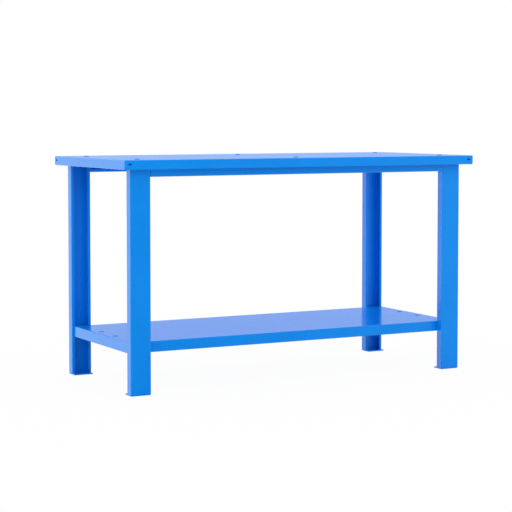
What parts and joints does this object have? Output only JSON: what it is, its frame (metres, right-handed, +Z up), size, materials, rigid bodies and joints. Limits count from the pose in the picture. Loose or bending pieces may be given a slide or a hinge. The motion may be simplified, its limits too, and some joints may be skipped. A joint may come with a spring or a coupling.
{
  "type": "assembly table",
  "caption": "Steel workshop assembly table: folded sheet top with a shallow fascia on lipped channel legs, with front and back rails and a full lower shelf bolted to cross rails.",
  "frame": {"origin": "on the floor, under the middle of the table top", "axes": "+X along the length to the right, +Y from the front to the back, +Z up"},
  "size_m": [1.5, 0.68, 0.8545],
  "materials": {
    "blue_powder_coat": "glossy blue powder coat on folded steel sheet, with a fine orange peel",
    "zinc_plated_steel": "bright zinc plating"
  },
  "bodies": {
    "root": {"back_rail": "blue_powder_coat", "foot_plate_back_left": "blue_powder_coat", "foot_plate_back_right": "blue_powder_coat", "foot_plate_front_left": "blue_powder_coat", "foot_plate_front_right": "blue_powder_coat", "front_rail": "blue_powder_coat", "leg_back_left": "blue_powder_coat", "leg_back_right": "blue_powder_coat", "leg_cap_plate_back_left": "blue_powder_coat", "leg_cap_plate_back_right": "blue_powder_coat", "leg_cap_plate_front_left": "blue_powder_coat", "leg_cap_plate_front_right": "blue_powder_coat", "leg_front_left": "blue_powder_coat", "leg_front_right": "blue_powder_coat", "lower_cross_rail_left": "blue_powder_coat", "lower_cross_rail_right": "blue_powder_coat", "rail_bolt_back_left_lower": "zinc_plated_steel", "rail_bolt_back_left_upper": "zinc_plated_steel", "rail_bolt_back_right_lower": "zinc_plated_steel", "rail_bolt_back_right_upper": "zinc_plated_steel", "rail_bolt_front_left_lower": "zinc_plated_steel", "rail_bolt_front_left_upper": "zinc_plated_steel", "rail_bolt_front_right_lower": "zinc_plated_steel", "rail_bolt_front_right_upper": "zinc_plated_steel", "rail_end_plate_back_left": "blue_powder_coat", "rail_end_plate_back_right": "blue_powder_coat", "rail_end_plate_front_left": "blue_powder_coat", "rail_end_plate_front_right": "blue_powder_coat", "shelf_bolt_back_left": "blue_powder_coat", "shelf_bolt_back_right": "blue_powder_coat", "shelf_bolt_front_left": "blue_powder_coat", "shelf_bolt_front_right": "blue_powder_coat", "shelf_nut_back_left": "zinc_plated_steel", "shelf_nut_back_right": "zinc_plated_steel", "shelf_nut_front_left": "zinc_plated_steel", "shelf_nut_front_right": "zinc_plated_steel", "shelf_panel": "blue_powder_coat", "shelf_stiffener": "blue_powder_coat", "top_bolt_back_left": "blue_powder_coat", "top_bolt_back_middle": "blue_powder_coat", "top_bolt_back_right": "blue_powder_coat", "top_bolt_front_left": "blue_powder_coat", "top_bolt_front_middle": "blue_powder_coat", "top_bolt_front_right": "blue_powder_coat", "top_nut_back_left": "zinc_plated_steel", "top_nut_back_middle": "zinc_plated_steel", "top_nut_back_right": "zinc_plated_steel", "top_nut_front_left": "zinc_plated_steel", "top_nut_front_middle": "zinc_plated_steel", "top_nut_front_right": "zinc_plated_steel", "top_panel": "blue_powder_coat", "top_stiffener_left": "blue_powder_coat", "top_stiffener_right": "blue_powder_coat", "upper_cross_rail_left": "blue_powder_coat", "upper_cross_rail_middle": "blue_powder_coat", "upper_cross_rail_right": "blue_powder_coat"}
  },
  "joints": []
}
